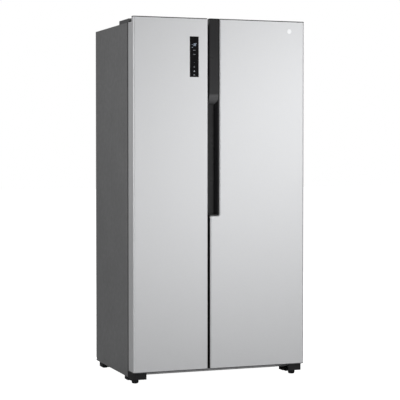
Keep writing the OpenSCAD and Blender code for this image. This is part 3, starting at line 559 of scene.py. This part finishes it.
def badge_disc():
    """Plain satin disc with a raised rim."""
    low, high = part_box("badge")
    centre = ((low.x + high.x) / 2, high.y, (low.z + high.z) / 2)
    r = (high.x - low.x) / 2
    rim = 0.9 * MM
    bm = bmesh.new()
    add_lathe(bm, [(0, 0), (r, 0), (r, -0.6 * MM), (r - 0.3 * MM, -rim), (r - 1.4 * MM, -rim),
                   (r - 1.8 * MM, -0.55 * MM), (0, -0.5 * MM)], centre, "Y", 64)
    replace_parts(add_mesh("badge_disc", bm, "right_door", "bright_steel", "badge_steel"), "badge")


badge_disc()


# ---------------------------------------------------------------- door seals

def seal(door):
    """Bellows seal: a foot under the liner, two folds and a magnet strip against the cabinet."""
    low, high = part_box(f"{door}_gasket")
    depth = high.y - low.y
    w = 14 * MM
    fold = 2.2 * MM
    section = [(1.5 * MM, 0), (0.5 * MM, 0.10), (2.5 * MM, 0.22), (fold, 0.30), (0, 0.42), (fold, 0.54),
               (0.2 * MM, 0.66), (0, 0.82), (0.8 * MM, 0.97), (2 * MM, 1.0), (w - 2 * MM, 1.0),
               (w - 0.8 * MM, 0.97), (w, 0.82), (w - 0.2 * MM, 0.66), (w - fold, 0.54), (w, 0.42),
               (w - fold, 0.30), (w - 2.5 * MM, 0.22), (w - 0.5 * MM, 0.10), (w - 1.5 * MM, 0)]
    bm = bmesh.new()
    add_frame_sweep(bm, low.x, high.x, low.z, high.z,
                    [(inset, low.y + part * depth) for inset, part in section])
    obj = add_mesh(f"{door}_seal", bm, door, "seal_grey", sharp=80.0)
    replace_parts(obj, f"{door}_gasket")


for door in ("left_door", "right_door"):
    seal(door)


# ---------------------------------------------------------------- feet and rollers

def foot(side):
    """Levelling foot: thick pad with a bevelled sole and grip flutes, and a threaded stem."""
    node = f"foot_{side}"
    low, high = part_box(node)
    centre = ((low.x + high.x) / 2, (low.y + high.y) / 2, 0)
    r = (high.x - low.x) / 2
    sole, pad_top = 0.6 * MM, 20 * MM
    bm = bmesh.new()
    add_lathe(bm, [(0, sole), (r - 7 * MM, sole), (r - 6 * MM, 0), (r - 4.4 * MM, 0), (r - 3.4 * MM, sole),
                   (r - 0.8 * MM, 3.4 * MM), (r - 0.4 * MM, 4.6 * MM), (r - 0.4 * MM, 6.5 * MM),
                   (0, 6.5 * MM)], centre, "Z", 96)

    flutes, flute_points, flute_depth = 30, 4, 0.8 * MM
    grip = []
    for k in range(flutes * flute_points):
        reach = r if k % flute_points in (1, 2) else r - flute_depth
        a = math.tau * k / (flutes * flute_points)
        grip.append((centre[0] + reach * math.cos(a), centre[1] + reach * math.sin(a)))
    add_prism(bm, grip, "Z", 5.5 * MM, pad_top - 1.6 * MM)
    add_lathe(bm, [(0, pad_top - 2.4 * MM), (r - 0.9 * MM, pad_top - 2.4 * MM),
                   (r - 0.9 * MM, pad_top - 1.2 * MM), (r - 2.4 * MM, pad_top), (0, pad_top)],
              centre, "Z", 96)

    pitch, stem = 1.5 * MM, 5 * MM
    thread_z = pad_top - 0.5 * MM
    thread = [(0, thread_z - 0.5 * MM)]
    turns = int((high.z - pad_top - 1 * MM) / pitch)
    for k in range(turns):
        z = thread_z + k * pitch
        thread += [(stem - 0.7 * MM, z), (stem, z + 0.5 * pitch)]
    thread += [(stem - 0.9 * MM, thread_z + turns * pitch), (0, high.z)]
    add_lathe(bm, thread, centre, "Z", 32)
    obj = add_mesh(f"levelling_foot_{side}", bm, f"{node}_body", "black_plastic", sharp=28.0)
    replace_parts(obj, node)


def roller(place, side):
    """Nylon wheel with a rounded tread, a recessed web with ribs, and a hub."""
    node = f"roller_{place}_{side}"
    low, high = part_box(node)
    centre = Vector(((low.x + high.x) / 2, (low.y + high.y) / 2, (low.z + high.z) / 2))
    half = (high.x - low.x) / 2
    r = (high.z - low.z) / 2
    bore, hub, dish = 3.05 * MM, 5.2 * MM, 3.2 * MM
    bm = bmesh.new()
    add_lathe(bm, [(bore, -half), (hub, -half), (hub, -half + dish), (r - 3 * MM, -half + dish),
                   (r - 2.6 * MM, -half + 0.3 * MM), (r - 1.6 * MM, -half), (r - 0.5 * MM, -half + 0.6 * MM),
                   (r, -half + 2 * MM), (r, half - 2 * MM), (r - 0.5 * MM, half - 0.6 * MM),
                   (r - 1.6 * MM, half), (r - 2.6 * MM, half - 0.3 * MM), (r - 3 * MM, half - dish),
                   (hub, half - dish), (hub, half), (bore, half)], centre, "X", 64)
    spokes, thick = 6, 1.0 * MM
    inner, outer = half - dish - 0.4 * MM, half - 0.5 * MM
    for k in range(spokes):
        turn = Matrix.Translation(centre) @ Matrix.Rotation(math.tau * k / spokes, 4, "X")
        for near, far in ((-outer, -inner), (inner, outer)):
            part = bmesh.new()
            add_box(part, (near, -thick / 2, hub - 0.4 * MM), (far, thick / 2, r - 2.7 * MM))
            part.transform(turn)
            spoke = bpy.data.meshes.new("spoke")
            part.to_mesh(spoke)
            part.free()
            bm.from_mesh(spoke)
            bpy.data.meshes.remove(spoke)
    obj = add_mesh(f"wheel_{place}_{side}", bm, f"{node}_body", "black_plastic", sharp=30.0)
    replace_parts(obj, node)


for side in ("left", "right"):
    foot(side)
    for place in ("front", "rear"):
        roller(place, side)


# ---------------------------------------------------------------- fans

BLADE_ROWS, BLADE_COLUMNS = 10, 8
BLADE_T = 1.1 * MM


def blade_points(start, hub, tip, half):
    """Middle surface of a blade that starts at the angle start, as rows from hub to tip."""
    root = hub - 1 * MM
    rows = []
    for i in range(BLADE_ROWS + 1):
        part = i / BLADE_ROWS
        radius = root + (tip - root) * part
        narrowing = 1 - 0.35 * max(0.0, part - 0.8) / 0.2
        spread = math.radians(46 + 10 * math.sin(math.pi * part)) * narrowing
        sweep = math.radians(16) * part
        row = []
        for j in range(BLADE_COLUMNS + 1):
            s = j / BLADE_COLUMNS - 0.5
            a = start + sweep + spread * s
            pitched = -2 * s * (half - 0.6 * MM) * (0.95 - 0.35 * part)
            cupped = 1.2 * MM * math.cos(math.pi * s)
            row.append((radius * math.cos(a), radius * math.sin(a), pitched + cupped))
        rows.append(row)
    return rows


def rim(grid):
    """The vertices round the edge of a grid of rows."""
    return (grid[0] + [row[-1] for row in grid[1:]] + grid[-1][-2::-1]
            + [row[0] for row in grid[-2:0:-1]])


def add_blade(bm, rows, half):
    """Gives a blade its thickness, and keeps it within half of the rotor's middle plane."""
    front = [[bm.verts.new((x, y, min(z + BLADE_T / 2, half))) for x, y, z in row] for row in rows]
    back = [[bm.verts.new((x, y, max(z - BLADE_T / 2, -half))) for x, y, z in row] for row in rows]
    for i in range(BLADE_ROWS):
        for j in range(BLADE_COLUMNS):
            bm.faces.new((front[i][j], front[i][j + 1], front[i + 1][j + 1], front[i + 1][j]))
            bm.faces.new((back[i][j], back[i + 1][j], back[i + 1][j + 1], back[i][j + 1]))
    near, far = rim(front), rim(back)
    for k in range(len(near)):
        n = (k + 1) % len(near)
        bm.faces.new((near[k], far[k], far[n], near[n]))


def fan(node, axis, hub, tip, blades):
    """Moulded rotor: domed hub and swept, pitched blades with round tips."""
    low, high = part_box(node)
    centre = (low + high) / 2
    index = "XYZ".index(axis)
    half = (high[index] - low[index]) / 2
    bore, hub_half = 3.05 * MM, 8 * MM
    bm = bmesh.new()
    add_lathe(bm, [(bore, -hub_half), (hub - 1 * MM, -hub_half), (hub, 1 * MM - hub_half),
                   (hub, hub_half - 2 * MM), (hub - 2 * MM, hub_half), (bore, hub_half)],
              (0, 0, 0), "Z", 48)
    for b in range(blades):
        add_blade(bm, blade_points(math.tau * b / blades, hub, tip, half), half)
    degrees, about = {"X": (90, "Y"), "Y": (-90, "X")}[axis]
    bm.transform(Matrix.Translation(centre) @ Matrix.Rotation(math.radians(degrees), 4, about))
    obj = add_mesh(f"{node}_rotor", bm, f"{node}_body", "white_abs", sharp=40.0)
    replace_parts(obj, node)


fan("evaporator_fan", "Y", hub=12 * MM, tip=51.5 * MM, blades=5)
fan("condenser_fan", "X", hub=12 * MM, tip=59.5 * MM, blades=5)


# ---------------------------------------------------------------- rear details

# In millimetres: x and z of the rear cover's screws, and x from the middle and y of hinge bolts
COVER_SCREW_XS, COVER_SCREW_ZS = (-425, 0, 425), (46, 250)
HINGE_BOLTS = ((424, -205), (388, -205), (406, -165))


def cover_hoods():
    """A small pressed hood over every air slot of the rear cover."""
    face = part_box("machine_cover")[1].y
    slot_h, slot_len = 6 * MM, 52 * MM
    group_x, column_pitch, columns = 215 * MM, 64 * MM, 4
    first_z, row_pitch, rows = 70 * MM, 20 * MM, 7
    bm = bmesh.new()
    for side in (-1, 1):
        for column in range(columns):
            for row in range(rows):
                x = side * group_x + (column - (columns - 1) / 2) * column_pitch
                top = first_z + row * row_pitch + slot_h
                outline = [(face, top + 1.2 * MM), (face + 1.9 * MM, top - 1.6 * MM),
                           (face + 1.9 * MM, top - 2.4 * MM), (face - 0.2 * MM, top + 0.2 * MM)]
                add_prism(bm, outline, "X", x - slot_len / 2, x + slot_len / 2)
    add_mesh("cover_hoods", bm, "cabinet", "zinc_sheet")


def add_cover_screw(bm, place):
    """Pan head with a recess, on a short shank; it faces +Y."""
    r, height, shank_r, shank = 4.5 * MM, 1.9 * MM, 2.1 * MM, 5 * MM
    add_lathe(bm, [(0, -shank), (shank_r, -shank), (shank_r, 0), (r, 0), (r, 0.8 * MM),
                   (r - 0.8 * MM, 1.5 * MM), (2.4 * MM, height), (1.6 * MM, 0.9 * MM), (0, 0.7 * MM)],
              place, "Y", 24)


def add_hinge_bolt(bm, x, y, z):
    """Hexagon head on a washer, and its shank through the hinge plate, which lies on z."""
    shank_r, plate, washer_r, washer_top = 2.9 * MM, 3 * MM, 6 * MM, 3.8 * MM
    head_r, head_low, head_top = 4.6 * MM, 3.6 * MM, 7 * MM
    add_lathe(bm, [(0, 0), (shank_r, 0), (shank_r, plate), (washer_r, plate), (washer_r, washer_top),
                   (0, washer_top)], (x, y, z), "Z", 32)
    turns = [math.tau * k / 6 for k in range(6)]
    hexagon = [(x + head_r * math.cos(a), y + head_r * math.sin(a)) for a in turns]
    add_prism(bm, hexagon, "Z", z + head_low, z + head_top)


def screw_heads():
    """The screws of the rear cover and the bolts of both top hinges."""
    bm = bmesh.new()
    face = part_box("machine_cover")[1].y
    for x in COVER_SCREW_XS:
        for z in COVER_SCREW_ZS:
            add_cover_screw(bm, (x * MM, face, z * MM))
    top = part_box("top_panel")[1].z
    for side in (-1, 1):
        for x, y in HINGE_BOLTS:
            add_hinge_bolt(bm, side * x * MM, y * MM, top)
    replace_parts(add_mesh("screw_set", bm, "cabinet", "bright_steel"), "screws")


cover_hoods()
screw_heads()


# ---------------------------------------------------------------- stage, light and camera

def stage_material():
    """Pale floor that the camera sees as plain white, and that lights the object only a little."""
    floor = Mat("pale_floor", (0.42, 0.42, 0.42), 0.7)
    floor.set("Emission Color", (1.0, 1.0, 1.0, 1.0))
    rays = floor.node("ShaderNodeLightPath")
    floor.link(rays.outputs["Is Camera Ray"], floor.bsdf.inputs["Emission Strength"])
    return floor.mat


def build_floor():
    """Wide flat floor at the height of the feet."""
    reach = 30.0
    corners = ((-reach, -reach, 0), (reach, -reach, 0), (reach, reach, 0), (-reach, reach, 0))
    bm = bmesh.new()
    bm.faces.new([bm.verts.new(p) for p in corners])
    mesh = bpy.data.meshes.new("floor")
    bm.to_mesh(mesh)
    bm.free()
    floor = bpy.data.objects.new("floor", mesh)
    bpy.context.scene.collection.objects.link(floor)
    mesh.materials.append(stage_material())


def build_world():
    """A surrounding that is white to the camera and dimmer as a light."""
    light = 0.3
    world = bpy.data.worlds.new("studio")
    bpy.context.scene.world = world
    world.use_nodes = True
    tree = world.node_tree
    back = tree.nodes["Background"]
    back.inputs["Color"].default_value = (1.0, 1.0, 1.0, 1.0)
    rays = tree.nodes.new("ShaderNodeLightPath")
    level = tree.nodes.new("ShaderNodeMapRange")
    level.inputs["To Min"].default_value = light
    level.inputs["To Max"].default_value = 1.0
    tree.links.new(rays.outputs["Is Camera Ray"], level.inputs["Value"])
    tree.links.new(level.outputs["Result"], back.inputs["Strength"])


def area_light(name, place, aim, width, height, power):
    data = bpy.data.lights.new(name, "AREA")
    data.shape = "RECTANGLE"
    data.size = width
    data.size_y = height
    data.energy = power
    obj = bpy.data.objects.new(name, data)
    bpy.context.scene.collection.objects.link(obj)
    obj.location = place
    obj.rotation_euler = (Vector(aim) - Vector(place)).to_track_quat("-Z", "Y").to_euler()


def build_camera():
    """Long lens at the photograph's viewing angle: 20 degrees to the left, a little above the middle."""
    tilt, turn = math.radians(88.498), math.radians(-20.383)
    data = bpy.data.cameras.new("camera")
    data.sensor_width = 36.0
    data.lens = 119.32
    data.shift_y = -0.04
    data.clip_end = 200.0
    obj = bpy.data.objects.new("camera", data)
    bpy.context.scene.collection.objects.link(obj)
    obj.location = (-2.364, -6.396, 1.141)
    obj.rotation_euler = (tilt, 0, turn)
    bpy.context.scene.camera = obj


# Name, place and aim in metres, width, height and power in watts
LIGHTS = (
    ("front_low", (0.2, -4.6, 0.6), (0.2, 0.0, 0.6), 1.5, 1.2, 7.0),
    ("key_low", (1.7, -4.6, 0.6), (1.7, 0.0, 0.6), 1.5, 1.2, 20.0),
    ("key_mid", (1.7, -4.6, 1.8), (1.7, 0.0, 1.8), 1.5, 1.2, 16.0),
    ("right_mid", (3.2, -4.6, 1.8), (3.2, 0.0, 1.8), 1.5, 1.2, 47.0),
    ("left_front", (-3.8, -3.0, 1.1), (-0.45, 0.0, 0.9), 1.2, 2.0, 68.0),
    ("left", (-4.0, 0.0, 1.6), (-0.45, 0.0, 0.9), 2.0, 2.0, 9.0),
    ("left_back", (-3.0, 3.0, 1.6), (-0.45, 0.0, 0.9), 2.0, 2.0, 6.0),
    ("right_back", (3.4, 3.4, 2.2), (0.3, 0.3, 0.9), 2.0, 2.0, 120.0),
)

build_floor()
build_world()
for settings in LIGHTS:
    area_light(*settings)
build_camera()
bpy.context.scene.view_settings.view_transform = "Standard"
